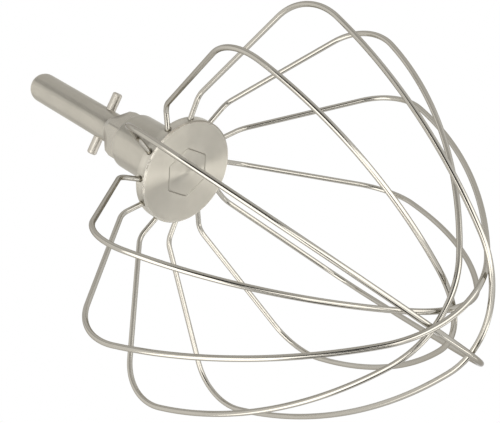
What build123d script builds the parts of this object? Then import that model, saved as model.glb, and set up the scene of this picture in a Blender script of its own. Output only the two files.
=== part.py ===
"""Wire whisk for a stand mixer.

A turned drive shaft carries a cross pin near its root and a round disc on its lower end. Six stiff
wire loops spring out of twelve holes in the rim of the disc, and nest over each other at the tip.
The shaft stands along +Z with its free end up. The origin is on its axis, where the ground register
that slides into the mixer begins, just above the cross pin. All sizes are millimetres.
"""

import os
from math import atan2, copysign, cos, degrees, pi, radians, sin, tan

from build123d import *

# Shank: the ground register that slides into the mixer, and below it a root relieved to a slight cone
register_dia = 12.7
register_length = 41.0
shank_end_round = 5.0
root_dia = 12.6
root_length = 12.5

# Cross pin, pressed through the root along X
pin_dia = 4.0
pin_length = 27.0
pin_below_register = 0.3
pin_end_chamfer = 0.5
pin_clearance = 0.02

# Spanner square above the sleeve: a turned boss with a long chamfer on its rear edge, milled on four sides
square_flats = 15.5
square_corner_dia = 20.4
square_length = 9.0
square_turn = 57.0
square_chamfer_width = 0.8
square_chamfer_length = 2.4

# Sleeve: the thick round middle of the shaft, which shoulders on the disc
sleeve_dia = 23.0
sleeve_length = 28.5
sleeve_rear_round = 2.0

# Hexagonal spigot below the sleeve, faced flush with the disc it carries
spigot_flats = 17.6
spigot_corner_round = 1.0
spigot_clearance = 0.05
joint_chamfer = 0.25

# Disc that holds the wires
disc_dia = 42.0
disc_thickness = 5.0
disc_edge_chamfer = 0.5
hole_depth = 7.0
hole_clearance = 0.1
hole_mouth_dia = 3.0
hole_mouth_angle = 90.0
hole_lag = 5.0

# Wire loops, all bent from one round wire
wire_dia = 2.0
loop_count = 6
first_bearing = -48.0
stub_run = 6.6
elbow_radius = 8.0
shoulder_run = 45.4
crown_radius = 21.5
crown_heading = 110.0
tip_radius = 37.0
tip_depth = 123.5

# What differs from loop to loop: the slope of the shoulders, the lean of the loop's plane, and how
# many wire diameters its tip lies below the innermost tip and to one side of the axis
shoulder_slopes = [44.5, 36.5, 38.0, 38.5, 42.0, 40.5]
leans = [3.0, 3.0, -3.5, -5.5, -2.5, 1.5]
nest_levels = [0.0, 5.75, 1.75, 5.0, 1.0, 6.25]
tip_offsets = [-1.25, 2.0, 0.0, -0.5, 1.5, 2.75]

# Levels along the axis from the register down, the holes' radius and the loops' bearings
pin_z = -pin_below_register - pin_dia / 2
square_top_z = -root_length
sleeve_top_z = square_top_z - square_length
disc_top_z = sleeve_top_z - sleeve_length
disc_face_z = disc_top_z - disc_thickness
hole_z = disc_face_z + disc_thickness / 2
hole_radius = wire_dia / 2 + hole_clearance
bearings = [first_bearing + 180 / loop_count * index for index in range(loop_count)]

os.makedirs("parts", exist_ok=True)


def finish(builder, name):
    """Label a finished piece and write it to its own file."""
    builder.part.label = name
    export_step(builder.part, f"parts/{name}.step")


def radial(radius, bearing, z=0.0):
    """A point at a radius and bearing round the axis."""
    return Vector(radius, 0, z).rotate(Axis.Z, bearing)


def elbow_tangent(slope):
    """Length of wire from the sharp corner of an elbow to where its bend begins."""
    return elbow_radius * tan(radians(slope) / 2)


def stub_ends(bearing, slope):
    """Inner seat, rim point and elbow corner of one wire end, in line in the disc's mid plane."""
    rim = radial(disc_dia / 2, bearing - hole_lag, hole_z)
    corner = radial(disc_dia / 2 + stub_run + elbow_tangent(slope), bearing, hole_z)
    seat = rim + (rim - corner).normalized() * hole_depth
    return seat, rim, corner


# Spanner square, made by itself so that its flats are milled on nothing else
with BuildPart() as spanner_square:
    with BuildSketch(Plane.XY.offset(sleeve_top_z)):
        Circle(square_corner_dia / 2)
    extrude(amount=square_length)
    rear = faces().sort_by(Axis.Z)[-1]
    chamfer(rear.edges(), square_chamfer_width, square_chamfer_length, reference=rear)
    with BuildSketch(Plane.XY.offset(sleeve_top_z)):
        Rectangle(square_flats, square_flats, rotation=square_turn)
    extrude(amount=square_length, mode=Mode.INTERSECT)

# Drive shaft, turned and milled from one bar
with BuildPart() as drive_shaft:
    with BuildSketch(Plane.XY.offset(disc_face_z)):
        RegularPolygon(spigot_flats / 2, 6, major_radius=False, rotation=30)
        fillet(vertices(), spigot_corner_round)
    extrude(amount=disc_thickness)
    chamfer(faces().sort_by(Axis.Z)[0].edges(), joint_chamfer)
    with BuildSketch(Plane.XY.offset(disc_top_z)):
        Circle(sleeve_dia / 2)
    extrude(amount=sleeve_length)
    fillet(faces().sort_by(Axis.Z)[-1].edges(), sleeve_rear_round)
    add(spanner_square.part)
    with Locations((0, 0, square_top_z)):
        Cone(root_dia / 2, register_dia / 2, root_length, align=(Align.CENTER, Align.CENTER, Align.MIN))
    with BuildSketch():
        Circle(register_dia / 2)
    extrude(amount=register_length + shank_end_round)
    fillet(faces().sort_by(Axis.Z)[-1].edges(), shank_end_round)
    with Locations(Plane(origin=(0, 0, pin_z), z_dir=(1, 0, 0))):
        Hole(pin_dia / 2 + pin_clearance)
finish(drive_shaft, "drive_shaft")

# Cross pin, with both ends chamfered
with BuildPart() as cross_pin:
    with BuildSketch(Plane.YZ.offset(-pin_length / 2)):
        with Locations((0, pin_z)):
            Circle(pin_dia / 2)
    extrude(amount=pin_length)
    chamfer(edges().filter_by(GeomType.CIRCLE), pin_end_chamfer)
finish(cross_pin, "cross_pin")

# Disc with its hexagonal bore, and a blind hole in the rim for each wire end
with BuildPart() as wire_disc:
    with BuildSketch(Plane.XY.offset(disc_face_z)):
        Circle(disc_dia / 2)
        with BuildSketch(mode=Mode.PRIVATE) as bore:
            RegularPolygon(spigot_flats / 2 + spigot_clearance, 6, major_radius=False, rotation=30)
            fillet(bore.vertices(), spigot_corner_round)
        add(bore.sketch, mode=Mode.SUBTRACT)
    extrude(amount=disc_thickness)
    face = faces().sort_by(Axis.Z)[0]
    chamfer(face.inner_wires()[0].edges(), joint_chamfer)
    rim_edges = edges().filter_by(GeomType.CIRCLE).group_by(SortBy.RADIUS)[-1]
    chamfer(rim_edges, disc_edge_chamfer)
    for bearing, slope in zip(bearings, shoulder_slopes):
        for side in (0, 180):
            seat, rim, corner = stub_ends(bearing + side, slope)
            with Locations(Plane(origin=rim, z_dir=corner - rim)):
                CounterSinkHole(hole_radius, hole_mouth_dia / 2, hole_depth, hole_mouth_angle)
finish(wire_disc, "wire_disc")


def crown_end(slope):
    """Where the crown bend ends: radius from the axis, and height over the disc's mid plane."""
    corner_radius = disc_dia / 2 + stub_run + elbow_tangent(slope)
    straight = elbow_tangent(slope) + shoulder_run
    start, end = radians(slope), radians(crown_heading)
    reach = corner_radius + straight * cos(start) + crown_radius * (sin(end) - sin(start))
    height = -straight * sin(start) + crown_radius * (cos(end) - cos(start))
    return reach, height


def belly(slope, tip_centre):
    """Radius and turn of the long arc that leaves the crown and runs tangent into the tip arc."""
    reach, height = crown_end(slope)
    heading = radians(crown_heading)
    inward = (-sin(heading), -cos(heading))
    gap = (reach - tip_centre[0], height - tip_centre[1])
    along = gap[0] * inward[0] + gap[1] * inward[1]
    radius = (tip_radius**2 - gap[0] ** 2 - gap[1] ** 2) / (2 * (along + tip_radius))
    to_tip = (-gap[0] - radius * inward[0], -gap[1] - radius * inward[1])
    outside = copysign(1, radius - tip_radius)
    tip_heading = degrees(atan2(outside * to_tip[0], outside * to_tip[1])) % 360
    return radius, tip_heading - crown_heading


def loop_plane(bearing, lean):
    """The plane a loop lies in: X along its bearing, Y up and leaning aside, origin in the disc."""
    across = radial(1, bearing)
    normal = Vector(0, -1, 0).rotate(Axis.X, lean).rotate(Axis.Z, bearing)
    return Plane(origin=(0, 0, hole_z), x_dir=across, z_dir=normal)


# Wire loops, each one sweep from the seat of one end to the seat of the other
for index, bearing in enumerate(bearings):
    slope = shoulder_slopes[index]
    plane = loop_plane(bearing, leans[index])
    depth = tip_depth + nest_levels[index] * wire_dia + disc_thickness / 2
    offset = tip_offsets[index] * wire_dia
    near_radius, near_turn = belly(slope, (offset, tip_radius - depth))
    far_radius, far_turn = belly(slope, (-offset, tip_radius - depth))
    tip_turn = 2 * (180 - crown_heading) - near_turn - far_turn
    near_seat, _, near_corner = stub_ends(bearing, slope)
    far_seat, _, far_corner = stub_ends(bearing + 180, slope)
    down = plane.x_dir * cos(radians(slope)) - plane.y_dir * sin(radians(slope))
    near_crown = near_corner + down * (elbow_tangent(slope) + shoulder_run)
    with BuildPart() as wire_loop:
        with BuildLine(plane) as path:
            near_end = FilletPolyline(near_seat, near_corner, near_crown, radius=elbow_radius)
            crown = JernArc(near_end @ 1, near_end % 1, crown_radius, slope - crown_heading)
            side = JernArc(crown @ 1, crown % 1, near_radius, -near_turn)
            tip = JernArc(side @ 1, side % 1, tip_radius, -tip_turn)
            side = JernArc(tip @ 1, tip % 1, far_radius, -far_turn)
            crown = JernArc(side @ 1, side % 1, crown_radius, slope - crown_heading)
            FilletPolyline(crown @ 1, far_corner, far_seat, radius=elbow_radius)
        with BuildSketch(Plane(origin=path.line @ 0, z_dir=path.line % 0)):
            Circle(wire_dia / 2)
        sweep()
    finish(wire_loop, f"wire_loop_{index + 1}")
    length = path.wire().length
    share = wire_loop.part.volume / (length * pi * wire_dia**2 / 4)
    print(f"wire_loop_{index + 1}: {length:.1f} mm of wire, volume over section times length {share:.4f}")
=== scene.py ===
# %% [markdown]
# # A wire whisk for a stand mixer
# The whisk is a turned steel shaft with a disc on its lower end, and six stiff wire loops that spring
# out of the rim of the disc. The solids arrive with every piece in its real place, so this file is about
# how they look: the light they are seen in, the finish of turned, polished and drawn steel, and wires
# fine enough to carry that finish. All lengths are metres, and the shaft stands along +Z.

# %% Load the solids and measure them
from math import atan2, ceil, copysign, cos, pi, radians, sin, tan

import bpy
from mathutils import Matrix, Vector


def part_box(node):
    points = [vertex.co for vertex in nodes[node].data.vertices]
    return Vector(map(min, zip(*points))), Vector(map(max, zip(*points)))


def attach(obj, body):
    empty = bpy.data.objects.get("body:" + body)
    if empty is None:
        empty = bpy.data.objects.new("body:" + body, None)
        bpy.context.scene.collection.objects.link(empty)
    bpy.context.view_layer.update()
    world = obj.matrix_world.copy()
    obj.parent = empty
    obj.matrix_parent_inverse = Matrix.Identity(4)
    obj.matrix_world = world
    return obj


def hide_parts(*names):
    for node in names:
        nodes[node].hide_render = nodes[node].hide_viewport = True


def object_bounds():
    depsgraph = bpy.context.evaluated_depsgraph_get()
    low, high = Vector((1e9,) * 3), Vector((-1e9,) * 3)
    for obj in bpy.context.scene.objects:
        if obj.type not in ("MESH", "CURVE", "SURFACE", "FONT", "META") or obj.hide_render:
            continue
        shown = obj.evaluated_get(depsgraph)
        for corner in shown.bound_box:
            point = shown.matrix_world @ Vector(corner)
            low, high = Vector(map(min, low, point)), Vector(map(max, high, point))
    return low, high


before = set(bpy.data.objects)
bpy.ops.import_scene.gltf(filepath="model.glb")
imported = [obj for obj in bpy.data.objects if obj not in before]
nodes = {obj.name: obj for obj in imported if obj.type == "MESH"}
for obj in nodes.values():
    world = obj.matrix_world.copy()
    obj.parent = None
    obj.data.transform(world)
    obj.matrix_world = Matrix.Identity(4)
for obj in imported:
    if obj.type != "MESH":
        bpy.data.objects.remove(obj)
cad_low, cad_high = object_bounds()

scene = bpy.context.scene
print("the solids measure, in mm:", [round(1000 * size, 1) for size in cad_high - cad_low])

# %% [markdown]
# ## The camera
# The whisk is seen from below the tip of the balloon, up along the wires at the face of the disc, with the
# camera rolled so that the shaft runs to the upper left. A camera could be aimed by a constraint, but a
# roll is easier to keep when it is set by its place, its turn and its lens. The lens is a short telephoto,
# so the near wires look only a little larger.

# %% Place the camera
camera_place = (0.0485, -0.3181, -0.3455)
camera_turn = (147.19, 42.385, 55.045)
camera_lens = 82.1
camera_sensor = 36.0
camera_near = 0.01

bpy.ops.object.camera_add(location=camera_place, rotation=[radians(angle) for angle in camera_turn])
camera = bpy.context.object
camera.data.lens = camera_lens
camera.data.sensor_width = camera_sensor
camera.data.clip_start = camera_near
scene.camera = camera
print("camera", round(Vector(camera_place).length, 3), "m from the origin")

# %% [markdown]
# ## The surround
# Polished steel has hardly any colour of its own: what shows is the room, and this one is white. A lit
# dome would do, but the world's background does the same with no mesh. Light Path lets it show as pure
# white to the lens and in reflections, while the light that it throws stays at a plain level.

# %% Helpers for node trees
def put(tree, kind, values=None, **settings):
    """Add a shader node, set its options, and fill in its unlinked sockets."""
    made = tree.nodes.new("ShaderNode" + kind)
    for name, value in settings.items():
        setattr(made, name, value)
    for socket, value in (values or {}).items():
        made.inputs[socket].default_value = value
    return made


def seen_rays(tree):
    """A socket that is 1 for what the lens, a mirror or glass sees, and 0 for light on its way."""
    path = put(tree, "LightPath")
    direct = put(tree, "Math", operation="ADD")
    seen = put(tree, "Math", operation="ADD", use_clamp=True)
    tree.links.new(path.outputs["Is Camera Ray"], direct.inputs[0])
    tree.links.new(path.outputs["Is Glossy Ray"], direct.inputs[1])
    tree.links.new(direct.outputs[0], seen.inputs[0])
    tree.links.new(path.outputs["Is Transmission Ray"], seen.inputs[1])
    return seen.outputs[0]


def new_material(name):
    """A material with an empty node tree and its output node."""
    material = bpy.data.materials.new(name)
    material.use_nodes = True
    material.node_tree.nodes.clear()
    output = put(material.node_tree, "OutputMaterial")
    return material, material.node_tree, output


# %% White surround
room_level = 0.75
warm_white = (1.0, 0.98, 0.95)

world = bpy.data.worlds.new("white_studio")
scene.world = world
world.use_nodes = True
tree = world.node_tree
tree.nodes.clear()
fill = put(tree, "Background", {"Color": (*warm_white, 1), "Strength": room_level})
white = put(tree, "Background", {"Color": (1, 1, 1, 1), "Strength": 1.0})
choose = put(tree, "MixShader")
output = put(tree, "OutputWorld")
tree.links.new(seen_rays(tree), choose.inputs[0])
tree.links.new(fill.outputs[0], choose.inputs[1])
tree.links.new(white.outputs[0], choose.inputs[2])
tree.links.new(choose.outputs[0], output.inputs["Surface"])
print("surround lights at", room_level, "and shows as white")

# %% [markdown]
# ## The floor
# A sheet of pale paper lies well below the whisk and reaches far enough to leave a level horizon. It keeps
# a faint shadow, and shows nearly as white as the surround. A plane has no thickness, so its underside can
# be clear: the whisk hangs over it and is looked at from below as well.

# %% Pale floor
floor_drop = 0.36
floor_size = 40.0
floor_white = 0.85
paper_colour = (0.87, 0.865, 0.855)

bpy.ops.object.select_all(action="DESELECT")
bpy.ops.mesh.primitive_plane_add(size=floor_size, location=(0, 0, cad_low.z - floor_drop))
floor = bpy.context.object
floor.name = "studio_floor"
material, tree, output = new_material("pale_floor")
paper = put(tree, "BsdfDiffuse", {"Color": (*paper_colour, 1)})
glow = put(tree, "Emission", {"Color": (1, 1, 1, 1), "Strength": 1.0})
share = put(tree, "Math", {1: floor_white}, operation="MULTIPLY")
blend = put(tree, "MixShader")
underside = put(tree, "NewGeometry")
clear = put(tree, "BsdfTransparent")
one_sided = put(tree, "MixShader")
tree.links.new(seen_rays(tree), share.inputs[0])
tree.links.new(share.outputs[0], blend.inputs[0])
tree.links.new(paper.outputs[0], blend.inputs[1])
tree.links.new(glow.outputs[0], blend.inputs[2])
tree.links.new(underside.outputs["Backfacing"], one_sided.inputs[0])
tree.links.new(blend.outputs[0], one_sided.inputs[1])
tree.links.new(clear.outputs[0], one_sided.inputs[2])
tree.links.new(one_sided.outputs[0], output.inputs["Surface"])
floor.data.materials.append(material)
print("floor", round(1000 * floor_drop), "mm below the tip")

# %% [markdown]
# ## Lamps and reflectors
# What a polished wire shows is the ring of directions round it, so each bright streak and each dark line
# on it belongs to something in the studio. Two soft boxes stand in front, one low on the left and one under
# the camera. Walls of white and grey card stand all round. Dark cards near the camera draw the thin dark
# lines that make a wire look round, and two white cards low in front lift the undersides. A picture of a
# studio could be wrapped round the scene instead, but cards can be moved one by one. They are seen by
# reflections alone, so they cast no shadow, and a level of 1 is as bright as white paper.

# %% Helpers for places round the whisk
aim = Vector((0, 0, (cad_low.z + cad_high.z) / 2))


def around(bearing, height, distance):
    """A place at a bearing and height in degrees from the whisk's middle, and the turn to face it."""
    level = cos(radians(height))
    towards = Vector((cos(radians(bearing)) * level, sin(radians(bearing)) * level, sin(radians(height))))
    return aim + towards * distance, towards.to_track_quat("Z", "Y").to_euler()


def span(angle, distance):
    """How wide a thing is that fills an angle at a distance."""
    return 2 * distance * tan(radians(angle) / 2)


print("lamps and cards face a point", round(-1000 * aim.z), "mm below the origin")

# %% Helpers for lamps and cards
card_white = (1.0, 0.985, 0.96)


def soft_box(name, bearing, height, wide, tall, level, distance):
    """A rectangular lamp that fills so many degrees each way, as bright as its level where 1 is white."""
    place, turn = around(bearing, height, distance)
    bpy.ops.object.light_add(type="AREA", location=place, rotation=turn)
    lamp = bpy.context.object
    lamp.name = name
    lamp.data.shape = "RECTANGLE"
    lamp.data.size = span(wide, distance)
    lamp.data.size_y = span(tall, distance)
    lamp.data.energy = level * pi * lamp.data.size * lamp.data.size_y
    lamp.data.color = warm_white
    lamp.visible_camera = False
    print(name, round(lamp.data.energy, 2), "W")


def card(name, place, turn, width, height, level):
    """A flat card of one even tone that only reflections see."""
    bpy.ops.object.select_all(action="DESELECT")
    bpy.ops.mesh.primitive_plane_add(size=1, location=place, rotation=turn)
    made = bpy.context.object
    made.name = name
    made.scale = (width, height, 1)
    material, tree, output = new_material(name)
    tone = put(tree, "Emission", {"Color": (*card_white, 1), "Strength": level})
    tree.links.new(tone.outputs[0], output.inputs["Surface"])
    made.data.materials.append(material)
    for rays in ("camera", "diffuse", "transmission", "shadow"):
        setattr(made, "visible_" + rays, False)
    print(name, "at level", level)


def facing_card(name, bearing, height, wide, tall, level, distance):
    """A card that faces the whisk and fills so many degrees each way."""
    place, turn = around(bearing, height, distance)
    card(name, place, turn, span(wide, distance), span(tall, distance), level)


def wall(name, start, end, top, level, distance):
    """An upright card from one bearing to another, and from the whisk's middle to a height in degrees."""
    place, turn = around((start + end) / 2, 0, distance)
    height = distance * tan(radians(top))
    card(name, place + Vector((0, 0, height / 2)), turn, span(end - start, distance), height, level)


# %% Set up the lamps and the walls
soft_box("left_box", bearing=236, height=-14, wide=72, tall=34, level=1.75, distance=0.6)
soft_box("low_box", bearing=318, height=-57, wide=80, tall=32, level=1.55, distance=0.45)
wall("white_wall", start=196, end=286, top=70, level=1.08, distance=1.2)
wall("dark_wall", start=287, end=317, top=75, level=0.63, distance=1.2)
wall("grey_wall", start=317, end=400, top=75, level=0.80, distance=1.4)
wall("pale_wall", start=120, end=195, top=75, level=0.94, distance=1.4)

# %% Set up the cards near the camera
facing_card("dark_beside_lens", bearing=289, height=-22, wide=42, tall=32, level=0.08, distance=0.45)
facing_card("dark_over_lens", bearing=328, height=-13, wide=36, tall=36, level=0.62, distance=0.5)
facing_card("dark_low_left", bearing=196, height=-47, wide=26, tall=28, level=0.03, distance=0.42)
facing_card("dark_under_lens", bearing=252, height=-47, wide=18, tall=15, level=0.03, distance=0.4)
facing_card("white_low_left", bearing=228, height=-53, wide=20, tall=26, level=1.5, distance=0.44)
facing_card("white_under_lens", bearing=258, height=-66, wide=50, tall=14, level=1.4, distance=0.46)

# %% [markdown]
# ## Cards for the face of the disc
# The lathe's rings spread the reflection on the disc's face in and out from its centre, so a sector of the
# face shows a line across the floor behind the whisk. All these lines cross in the one spot that a mirror
# would show. White cards laid corner to corner on that spot, with dark ones beside them, therefore come
# out as the two light sectors and the dark edge of each. A pair of grey cards, turned the other way, tones
# down the sectors between. Wedges painted on the disc would look the same from here, but they would stay
# put when the whisk turns, and real ones don't.

# %% Lay cards on the floor
card_lift = 0.004
mirror_spot = Vector((-0.08, 0.54, floor.location.z + card_lift))
card_run = 0.5
# Name, side of the sector's edge, width and level of the cards, then name, way and turn of their ends
sector_cards = (("white_sector", 1, 0.12, 2.85), ("dark_sector", -1, 0.03, 0.05))
sector_ends = (("near", -1, radians(-21.0)), ("far", 1, radians(1.5)))


def floor_card(name, turn, across, along, width, run, level):
    """A card on the floor, turned about the mirror spot and so far across and along from it."""
    offset = Matrix.Rotation(turn, 3, "Z") @ Vector((across, along, 0))
    card(name, mirror_spot + offset, (0, 0, turn), width, run, level)


for name, side, width, level in sector_cards:
    for end, far, turn in sector_ends:
        across = -far * side * width / 2
        floor_card(f"{name}_{end}", turn, across, far * card_run / 2, width, card_run, level)

# %% Tone down the sectors between
shade_turn = radians(28.0)
shade_away = 0.21
shade_width = 0.1
shade_run = 0.3
shade_level = 0.65

for end, far, _ in sector_ends:
    floor_card(f"grey_sector_{end}", shade_turn, 0, far * shade_away, shade_width, shade_run, shade_level)

# %% [markdown]
# ## Effects that several finishes share
# Four effects are shared: the fine rings a lathe leaves round the axis, the faint cloudiness of handling and
# washing, a zone round the axis along a corner or an edge where the colour is changed, with painted shade in
# a corner and a painted highlight along an edge, and the lines a die draws along a wire. Each is a node
# group that puts out a height, a tone or a mask, so that every finish can use it at its own strength. The
# rings depend only on the distance from the axis and the height along it, so one flat noise over those two
# gives rings on the shaft and on the disc alike.

# %% Group for lathe rings
def new_group(name, inputs, outputs):
    """A shader node group with named number sockets, and its two end nodes."""
    group = bpy.data.node_groups.new(name, "ShaderNodeTree")
    for socket, value in inputs.items():
        made = group.interface.new_socket(socket, in_out="INPUT", socket_type="NodeSocketFloat")
        made.default_value = value
    for socket in outputs:
        group.interface.new_socket(socket, in_out="OUTPUT", socket_type="NodeSocketFloat")
    return group, group.nodes.new("NodeGroupInput"), group.nodes.new("NodeGroupOutput")


def turned_profile(tree):
    """The distance from the axis and the height along it, as the X and Y of a vector."""
    place = put(tree, "TexCoord")
    flat = put(tree, "VectorMath", {1: (1, 1, 0)}, operation="MULTIPLY")
    reach = put(tree, "VectorMath", operation="LENGTH")
    parts = put(tree, "SeparateXYZ")
    profile = put(tree, "CombineXYZ")
    tree.links.new(place.outputs["Object"], flat.inputs[0])
    tree.links.new(flat.outputs["Vector"], reach.inputs[0])
    tree.links.new(place.outputs["Object"], parts.inputs[0])
    tree.links.new(reach.outputs["Value"], profile.inputs["X"])
    tree.links.new(parts.outputs["Z"], profile.inputs["Y"])
    return profile.outputs[0]


rings, given, result = new_group("lathe_rings", {"Fine": 5200.0, "Broad": 420.0}, ["Height", "Tone"])
profile = turned_profile(rings)
for scale, output in (("Fine", "Height"), ("Broad", "Tone")):
    noise = put(rings, "TexNoise", {"Detail": 3.0, "Roughness": 0.6}, noise_dimensions="2D")
    rings.links.new(profile, noise.inputs["Vector"])
    rings.links.new(given.outputs[scale], noise.inputs["Scale"])
    rings.links.new(noise.outputs["Fac"], result.inputs[output])
print("lathe_rings made with", len(rings.nodes), "nodes")

# %% [markdown]
# Handling and washing leave no pattern at all, only soft patches that are a little lighter or duller than
# the rest. Plain noise in all three directions is enough for that.

# %% Group for cloudiness
clouds, given, result = new_group("handling_clouds", {"Scale": 90.0}, ["Tone"])
place = put(clouds, "TexCoord")
noise = put(clouds, "TexNoise", {"Detail": 4.0, "Roughness": 0.55})
clouds.links.new(place.outputs["Object"], noise.inputs["Vector"])
clouds.links.new(given.outputs["Scale"], noise.inputs["Scale"])
clouds.links.new(noise.outputs["Fac"], result.inputs["Tone"])
print("handling_clouds made with", len(clouds.nodes), "nodes")

# %% [markdown]
# A corner of painted shade, a lighter rim, and an edge with a painted highlight and painted shade each
# follow a circle round the axis. The mask is 1 on that circle and fades to 0 at its reach. It could be
# painted on each vertex, but the solids have too few of them for so thin a line.

# %% Group for a zone round the axis
zone, given, result = new_group("ring_zone", {"Radius": 0.01, "Level": 0.0, "Reach": 0.0006}, ["Mask"])
profile = turned_profile(zone)
circle = put(zone, "CombineXYZ")
away = put(zone, "VectorMath", operation="DISTANCE")
fade = put(zone, "MapRange", {"To Min": 1.0, "To Max": 0.0})
zone.links.new(given.outputs["Radius"], circle.inputs["X"])
zone.links.new(given.outputs["Level"], circle.inputs["Y"])
zone.links.new(profile, away.inputs[0])
zone.links.new(circle.outputs[0], away.inputs[1])
zone.links.new(away.outputs["Value"], fade.inputs["Value"])
zone.links.new(given.outputs["Reach"], fade.inputs["From Max"])
zone.links.new(fade.outputs["Result"], result.inputs["Mask"])
print("ring_zone made with", len(zone.nodes), "nodes")

# %% [markdown]
# A die leaves lines that run along the wire however it is bent, so no straight pattern fits. Each wire
# stores the length along it and the place round it at every point, and noise that is stretched along that
# length becomes lines.

# %% Group for drawn lines
drawn, given, result = new_group("drawn_lines", {"Along": 60.0, "Round": 5.0}, ["Height", "Tone"])
trace = put(drawn, "Attribute", attribute_name="drawn")
parts = put(drawn, "SeparateXYZ")
run = put(drawn, "Math", operation="MULTIPLY")
drawn.links.new(trace.outputs["Vector"], parts.inputs[0])
drawn.links.new(parts.outputs["X"], run.inputs[0])
drawn.links.new(given.outputs["Along"], run.inputs[1])
for fineness, output in ((1.0, "Height"), (0.35, "Tone")):
    line = put(drawn, "CombineXYZ")
    noise = put(drawn, "TexNoise", {"Scale": 1.0, "Detail": 3.0, "Roughness": 0.6})
    drawn.links.new(run.outputs[0], line.inputs["X"])
    for axis in ("Y", "Z"):
        wide = put(drawn, "Math", {1: fineness}, operation="MULTIPLY")
        across = put(drawn, "Math", operation="MULTIPLY")
        drawn.links.new(given.outputs["Round"], wide.inputs[0])
        drawn.links.new(parts.outputs[axis], across.inputs[0])
        drawn.links.new(wide.outputs[0], across.inputs[1])
        drawn.links.new(across.outputs[0], line.inputs[axis])
    drawn.links.new(line.outputs[0], noise.inputs["Vector"])
    drawn.links.new(noise.outputs["Fac"], result.inputs[output])
print("drawn_lines made with", len(drawn.nodes), "nodes")

# %% [markdown]
# ## Turned steel
# The shaft and the disc were turned on a lathe. Grooves that run round the axis spread a reflection
# across them: up and down the shaft, and in and out on the face of the disc, where it shows as light and
# dark wedges that meet at the centre. Real grooves would need millions of faces, so the shader does it
# with anisotropy along a tangent that points across the grooves, worked out from the axis and the surface
# normal. Over that come painted shade in the corner where the shank meets the spanner square, smoother
# steel on the square, which was milled, and a rim of lighter colour. The edge of the disc's face is
# smoother, with a painted highlight on one side that fades to a painted brown shade on the other.

# %% Helpers for colours and numbers
def add_group(tree, group, values=None):
    """Place a node group in a material."""
    made = put(tree, "Group", node_tree=group)
    for socket, value in (values or {}).items():
        made.inputs[socket].default_value = value
    return made


def tone_mix(tree, tone, first, last):
    """A colour that goes from the first to the last as a tone goes over its middle range."""
    ramp = put(tree, "ValToRGB")
    ramp.color_ramp.elements[0].position = 0.3
    ramp.color_ramp.elements[0].color = (*first, 1)
    ramp.color_ramp.elements[1].position = 0.7
    ramp.color_ramp.elements[1].color = (*last, 1)
    tree.links.new(tone, ramp.inputs[0])
    return ramp.outputs["Color"]


def spread(tree, tone, low, high):
    """A number that goes from low to high as a tone goes over its middle range."""
    made = put(tree, "MapRange", {"From Min": 0.3, "From Max": 0.7, "To Min": low, "To Max": high})
    tree.links.new(tone, made.inputs["Value"])
    return made.outputs["Result"]


def colour_over(tree, mask, under, over):
    """A colour with another one, fixed or from a socket, laid over it where a mask says."""
    mix = put(tree, "Mix", data_type="RGBA")
    tree.links.new(mask, mix.inputs["Factor"])
    tree.links.new(under, mix.inputs["A"])
    if isinstance(over, tuple):
        mix.inputs["B"].default_value = (*over, 1)
    else:
        tree.links.new(over, mix.inputs["B"])
    return mix.outputs["Result"]


def number_over(tree, mask, under, over):
    """A number with a fixed one put in its place where a mask says."""
    mix = put(tree, "Mix", {"B": over}, data_type="FLOAT")
    tree.links.new(mask, mix.inputs["Factor"])
    tree.links.new(under, mix.inputs["A"])
    return mix.outputs["Result"]


# %% Helpers for places on the steel
def place_along(tree, axis):
    """The place along one axis of the piece."""
    place = put(tree, "TexCoord")
    parts = put(tree, "SeparateXYZ")
    tree.links.new(place.outputs["Object"], parts.inputs[0])
    return parts.outputs[axis]


def between(tree, low, high):
    """A mask that is 1 between two heights along the axis."""
    inside = put(tree, "Math", {1: (low + high) / 2, 2: (high - low) / 2}, operation="COMPARE")
    tree.links.new(place_along(tree, "Z"), inside.inputs[0])
    return inside.outputs[0]


def crossing(tree, start, end):
    """A tone that goes from 0 to 1 between two places along X."""
    rise = put(tree, "MapRange", {"From Min": start, "From Max": end})
    tree.links.new(place_along(tree, "X"), rise.inputs["Value"])
    return rise.outputs["Result"]


def across_grooves(tree):
    """A tangent square to the lathe's grooves, whichever way the surface faces."""
    place = put(tree, "TexCoord")
    round_axis = put(tree, "VectorMath", {0: (0, 0, 1)}, operation="CROSS_PRODUCT")
    surface = put(tree, "NewGeometry")
    across = put(tree, "VectorMath", operation="CROSS_PRODUCT")
    unit = put(tree, "VectorMath", operation="NORMALIZE")
    tree.links.new(place.outputs["Object"], round_axis.inputs[1])
    tree.links.new(surface.outputs["Normal"], across.inputs[0])
    tree.links.new(round_axis.outputs["Vector"], across.inputs[1])
    tree.links.new(across.outputs["Vector"], unit.inputs[0])
    return unit.outputs["Vector"]


# %% Zones of the shaft and the disc
root_radius = 0.0063
square_top = -0.0125
square_foot = -0.0215
disc_low, disc_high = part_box("wire_disc")
disc_radius = (disc_high.x - disc_low.x) / 2
disc_thickness = disc_high.z - disc_low.z
disc_middle = (disc_high.z + disc_low.z) / 2
edge_inset = 0.0002

# The first zone is the corner at the root of the shank, where shade is painted; then the rim, and the edge
# of the disc's face.
root_corner_shade = {"Radius": root_radius, "Level": square_top, "Reach": 0.0028}
disc_rim = {"Radius": disc_radius, "Level": disc_middle, "Reach": 0.003}
disc_edge = {"Radius": disc_radius - edge_inset, "Level": disc_low.z + edge_inset, "Reach": 0.0007}
print("disc", round(2000 * disc_radius, 1), "mm across and", round(1000 * disc_thickness, 1), "mm thick")

# %% Colour of the shaft and the disc
steel_dark = (0.456, 0.435, 0.381)
steel_light = (0.505, 0.48, 0.421)
# Painted shade: a near-black brown laid in the corner at the root of the shank.
painted_corner_shade = (0.12, 0.10, 0.08)
# The rim of the disc is given a lighter colour.
rim_lighter = (0.59, 0.565, 0.50)
# Painted highlight on one side of the edge of the disc's face, fading between two places along X to a
# painted brown shade on the other side.
edge_painted_highlight = (0.61, 0.585, 0.52)
edge_painted_shade = (0.30, 0.27, 0.225)
edge_shade_start = 0.003
edge_shade_end = 0.016

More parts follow.
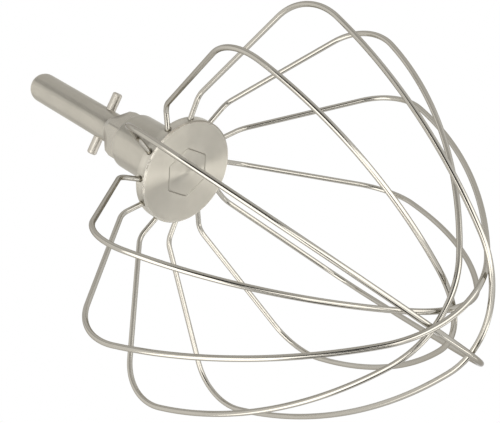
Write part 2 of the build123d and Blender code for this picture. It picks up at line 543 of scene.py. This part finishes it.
turned_steel, tree, output = new_material("turned_steel")
steel = put(tree, "BsdfPrincipled", {"Metallic": 1.0, "Anisotropic": 1.0})
cloud = add_group(tree, clouds)
corner_shade_mask = add_group(tree, zone, root_corner_shade).outputs["Mask"]
rim_mask = add_group(tree, zone, disc_rim).outputs["Mask"]
edge_mask = add_group(tree, zone, disc_edge).outputs["Mask"]
# The edge's painted highlight fades to its painted shade along X.
edge_colour = tone_mix(tree, crossing(tree, edge_shade_start, edge_shade_end), edge_painted_highlight, edge_painted_shade)
colour = tone_mix(tree, cloud.outputs["Tone"], steel_dark, steel_light)
# Painted shade goes in the corner at the root of the shank, then the lighter rim, then the painted highlight
# and shade along the edge.
colour = colour_over(tree, corner_shade_mask, colour, painted_corner_shade)
colour = colour_over(tree, rim_mask, colour, rim_lighter)
colour = colour_over(tree, edge_mask, colour, edge_colour)
tree.links.new(colour, steel.inputs["Base Color"])
tree.links.new(steel.outputs[0], output.inputs["Surface"])
print("turned_steel coloured with", len(tree.nodes), "nodes")

# %% Grain of the shaft and the disc
turned_roughness = (0.32, 0.38)
milled_roughness = 0.2
rubbed_roughness = 0.18
groove_strength = 0.1
groove_depth = 0.00002

lathe = add_group(tree, rings)
roughness = spread(tree, lathe.outputs["Tone"], *turned_roughness)
roughness = number_over(tree, between(tree, square_foot, square_top), roughness, milled_roughness)
roughness = number_over(tree, edge_mask, roughness, rubbed_roughness)
bump = put(tree, "Bump", {"Strength": groove_strength, "Distance": groove_depth})
tree.links.new(lathe.outputs["Height"], bump.inputs["Height"])
tree.links.new(roughness, steel.inputs["Roughness"])
tree.links.new(across_grooves(tree), steel.inputs["Tangent"])
tree.links.new(bump.outputs["Normal"], steel.inputs["Normal"])
for name in ("drive_shaft", "wire_disc"):
    nodes[name].material_slots[0].material = turned_steel
    print(name, "is turned steel")

# %% [markdown]
# ## Polished steel
# The cross pin is a length of ground rod, pressed through the root of the shank. Its marks are too fine to
# see, so it needs no grooves, only the soft gloss of ground steel and a little cloudiness. Metal goes white
# where it turns away from the eye. The Specular Tint holds that back, as the thin film of use does on the
# real pin.

# %% Finish of the cross pin
pin_dark = (0.49, 0.465, 0.415)
pin_light = (0.55, 0.52, 0.465)
pin_roughness = (0.32, 0.38)
pin_edge_tint = (0.6, 0.57, 0.54)
pin_clouds = 260.0

polished_steel, tree, output = new_material("polished_steel")
steel = put(tree, "BsdfPrincipled", {"Metallic": 1.0, "Specular Tint": (*pin_edge_tint, 1)})
cloud = add_group(tree, clouds, {"Scale": pin_clouds})
colour = tone_mix(tree, cloud.outputs["Tone"], pin_dark, pin_light)
roughness = spread(tree, cloud.outputs["Tone"], *pin_roughness)
tree.links.new(colour, steel.inputs["Base Color"])
tree.links.new(roughness, steel.inputs["Roughness"])
tree.links.new(steel.outputs[0], output.inputs["Surface"])
nodes["cross_pin"].material_slots[0].material = polished_steel
print("cross_pin is polished steel")

# %% [markdown]
# ## Drawn steel
# Wire is pulled cold through a die, which leaves it the smoothest steel of the whisk: nearly a mirror, with
# hardly visible lines along it. A low roughness lets the streaks of the studio stay sharp, and the drawn
# lines change its colour and its surface only a little.

# %% Finish of the wires
wire_dark = (0.445, 0.425, 0.38)
wire_light = (0.495, 0.475, 0.425)
wire_roughness = (0.09, 0.15)
wire_edge_tint = (0.5, 0.48, 0.45)
wire_clouds = 60.0
line_strength = 0.05
line_depth = 0.00002

wire_steel, tree, output = new_material("wire_steel")
steel = put(tree, "BsdfPrincipled", {"Metallic": 1.0, "Specular Tint": (*wire_edge_tint, 1)})
cloud = add_group(tree, clouds, {"Scale": wire_clouds})
lines = add_group(tree, drawn)
colour = tone_mix(tree, lines.outputs["Tone"], wire_dark, wire_light)
roughness = spread(tree, cloud.outputs["Tone"], *wire_roughness)
bump = put(tree, "Bump", {"Strength": line_strength, "Distance": line_depth})
tree.links.new(lines.outputs["Height"], bump.inputs["Height"])
tree.links.new(colour, steel.inputs["Base Color"])
tree.links.new(roughness, steel.inputs["Roughness"])
tree.links.new(bump.outputs["Normal"], steel.inputs["Normal"])
tree.links.new(steel.outputs[0], output.inputs["Surface"])
print("wire_steel made with", len(tree.nodes), "nodes")

# %% [markdown]
# ## The wires
# Each loop is one stiff round wire, bent cold from a straight length: a stub in the rim of the disc, an
# elbow, a straight shoulder, a crown, a long belly, the tip, and the same back to the other side. The six
# share all their sizes but a few: the slope of the shoulders, the lean of the loop, and the place of its
# tip, told in wire diameters down from the innermost tip and to one side of the axis. Those few let the
# loops pass over each other at the tip. Angles are in degrees here.

# %% Sizes of the wires
wire_radius = 0.001
wire_dia = 2 * wire_radius
hole_depth = 0.007
hole_lag = 5.0
first_bearing = -48.0
bearing_step = 30.0
stub_run = 0.0066
elbow_radius = 0.008
shoulder_run = 0.0454
crown_radius = 0.0215
crown_heading = 110.0
tip_radius = 0.037
tip_depth = 0.1235

shoulder_slopes = [44.5, 36.5, 38.0, 38.5, 42.0, 40.5]
leans = [3.0, 3.0, -3.5, -5.5, -2.5, 1.5]
nest_levels = [0.0, 5.75, 1.75, 5.0, 1.0, 6.25]
tip_offsets = [-1.25, 2.0, 0.0, -0.5, 1.5, 2.75]
print(len(shoulder_slopes), "loops of", 1000 * wire_dia, "mm wire")

# %% [markdown]
# The belly has to leave the crown and enter the tip without a kink. Only one arc does both, so its radius
# and its turn are worked out from the two ends and aren't sizes of their own.

# %% Where a wire leaves the disc, and how its long sides curve
def elbow_tangent(turn):
    """Length of wire from the sharp corner of an elbow to where its bend begins."""
    return elbow_radius * tan(turn / 2)


def stub_ends(bearing, slope):
    """Seat of a wire end in its hole, and the sharp corner of its elbow."""
    reach = disc_radius + stub_run + elbow_tangent(slope)
    rim = Matrix.Rotation(bearing - radians(hole_lag), 3, "Z") @ Vector((disc_radius, 0, 0))
    corner = Matrix.Rotation(bearing, 3, "Z") @ Vector((reach, 0, 0))
    seat = rim + (rim - corner).normalized() * hole_depth
    lift = Vector((0, 0, disc_middle))
    return seat + lift, corner + lift


def belly(slope, tip_side, tip_height):
    """Radius and turn of the long arc that leaves the crown and runs smoothly into the tip."""
    end = radians(crown_heading)
    straight = elbow_tangent(slope) + shoulder_run
    out = disc_radius + stub_run + elbow_tangent(slope) + straight * cos(slope)
    out += crown_radius * (sin(end) - sin(slope)) - tip_side
    up = -straight * sin(slope) + crown_radius * (cos(end) - cos(slope)) - tip_height
    along = -out * sin(end) - up * cos(end)
    radius = (tip_radius**2 - out**2 - up**2) / (2 * (along + tip_radius))
    outside = copysign(1, radius - tip_radius)
    heading = atan2(outside * (radius * sin(end) - out), outside * (radius * cos(end) - up)) % (2 * pi)
    return radius, heading - end


# %% [markdown]
# A loop is made here the way a bender makes it: start with a ring the size of the wire, push it straight
# out of the disc, and swing it round a former for every bend. Extrude is the straight push and spin is the
# former, so the bends come out as true arcs with even rings. A bevelled curve would be quicker, but it
# gives no clean way to say how far along the wire a point lies, and the drawn lines need that.

# %% A wire bender
wire_sides = 32
straight_ring_gap = 0.0096
bend_ring_gap = 0.0024
most_ring_turn = radians(3)
smooth_angle = radians(40)


class Bender:
    """A ring of wire that is pushed and swung along, and keeps a note of where it has been."""

    def __init__(self, name, place, heading):
        bpy.ops.object.select_all(action="DESELECT")
        turn = heading.to_track_quat("Z", "Y")
        bpy.ops.mesh.primitive_circle_add(
            vertices=wire_sides, radius=wire_radius, location=place, rotation=turn.to_euler())
        self.wire = bpy.context.object
        self.wire.name = name
        bpy.ops.object.transform_apply(location=True, rotation=True, scale=True)
        bpy.ops.object.mode_set(mode="EDIT")
        bpy.ops.mesh.select_all(action="SELECT")
        self.place = place.copy()
        self.heading = heading.copy()
        self.lengths = [0.0]

    def push(self, length):
        """Push the wire straight on."""
        steps = max(1, round(length / straight_ring_gap))
        for _ in range(steps):
            bpy.ops.mesh.extrude_region_move(TRANSFORM_OT_translate={"value": self.heading * length / steps})
            self.lengths.append(self.lengths[-1] + length / steps)
        self.place += self.heading * length

    def swing(self, radius, turn, axis):
        """Swing the wire round a former."""
        centre = self.place + axis.cross(self.heading) * radius
        steps = max(ceil(turn / most_ring_turn), ceil(radius * turn / bend_ring_gap))
        bpy.ops.mesh.spin(steps=steps, angle=-turn, center=centre, axis=axis)
        self.lengths += [self.lengths[-1] + radius * turn * step / steps for step in range(1, steps + 1)]
        rotation = Matrix.Rotation(turn, 3, axis)
        self.place = centre + rotation @ (self.place - centre)
        self.heading = rotation @ self.heading

    def cut(self):
        """Close both ends, and store the length along the wire and the place round it at every point."""
        bpy.ops.mesh.select_all(action="SELECT")
        bpy.ops.mesh.fill_holes(sides=0)
        bpy.ops.mesh.select_all(action="SELECT")
        bpy.ops.mesh.normals_make_consistent(inside=False)
        bpy.ops.object.mode_set(mode="OBJECT")
        notes = self.wire.data.attributes.new("drawn", "FLOAT_VECTOR", "POINT")
        for point in self.wire.data.vertices:
            ring, side = divmod(point.index, wire_sides)
            angle = 2 * pi * side / wire_sides
            notes.data[point.index].vector = (self.lengths[ring], cos(angle), sin(angle))
        bpy.ops.object.shade_smooth_by_angle(angle=smooth_angle)
        return self.wire


# %% Bend one loop
def bend_loop(name, bearing, slope, lean, tip_side, tip_height):
    """One wire from seat to seat, its length, and how far its end lies from the seat it has to reach."""
    stand = Matrix.Rotation(bearing, 3, "Z") @ Matrix.Rotation(lean, 3, "X")
    across = stand @ Vector((1, 0, 0))
    back = stand @ Vector((0, 1, 0))
    down = Matrix.Rotation(slope, 3, back) @ across
    seat, corner = stub_ends(bearing, slope)
    far_seat, far_corner = stub_ends(bearing + pi, slope)
    outward = (corner - seat).normalized()
    elbow = outward.angle(down)
    inward = (far_seat - far_corner).normalized()

    near_radius, near_turn = belly(slope, tip_side, tip_height)
    far_radius, far_turn = belly(slope, -tip_side, tip_height)
    crown_turn = radians(crown_heading) - slope
    tip_turn = 2 * (pi - radians(crown_heading)) - near_turn - far_turn

    bender = Bender(name, seat, outward)
    bender.push((corner - seat).length - elbow_tangent(elbow))
    bender.swing(elbow_radius, elbow, outward.cross(down).normalized())
    bender.push(elbow_tangent(slope) + shoulder_run - elbow_tangent(elbow))
    bender.swing(crown_radius, crown_turn, back)
    bender.swing(near_radius, near_turn, back)
    bender.swing(tip_radius, tip_turn, back)
    bender.swing(far_radius, far_turn, back)
    bender.swing(crown_radius, crown_turn, back)
    far_elbow = bender.heading.angle(inward)
    bender.push((far_corner - bender.place).length - elbow_tangent(far_elbow))
    bender.swing(elbow_radius, far_elbow, bender.heading.cross(inward).normalized())
    bender.push((far_seat - bender.place).length)
    return bender.cut(), bender.lengths[-1], (bender.place - far_seat).length


# %% Bend the six loops
for index, node in enumerate(sorted(name for name in nodes if name.startswith("wire_loop"))):
    slope = radians(shoulder_slopes[index])
    bearing = radians(first_bearing + bearing_step * index)
    lean = radians(leans[index])
    tip_side = tip_offsets[index] * wire_dia
    tip_height = tip_radius - tip_depth - nest_levels[index] * wire_dia - disc_thickness / 2
    wire, length, miss = bend_loop(f"balloon_wire_{index + 1}", bearing, slope, lean, tip_side, tip_height)

    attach(wire, "root")
    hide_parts(node)
    wire.data.materials.append(wire_steel)
    print(wire.name, round(1000 * length, 1), "mm of wire,", len(wire.data.polygons), "faces")
    print("its end lies", round(1e6 * miss, 2), "micrometres from its seat")

# %% [markdown]
# ## Last setting
# The colours are shown through the Standard view transform.

# %% Set the view transform
scene.view_settings.view_transform = "Standard"
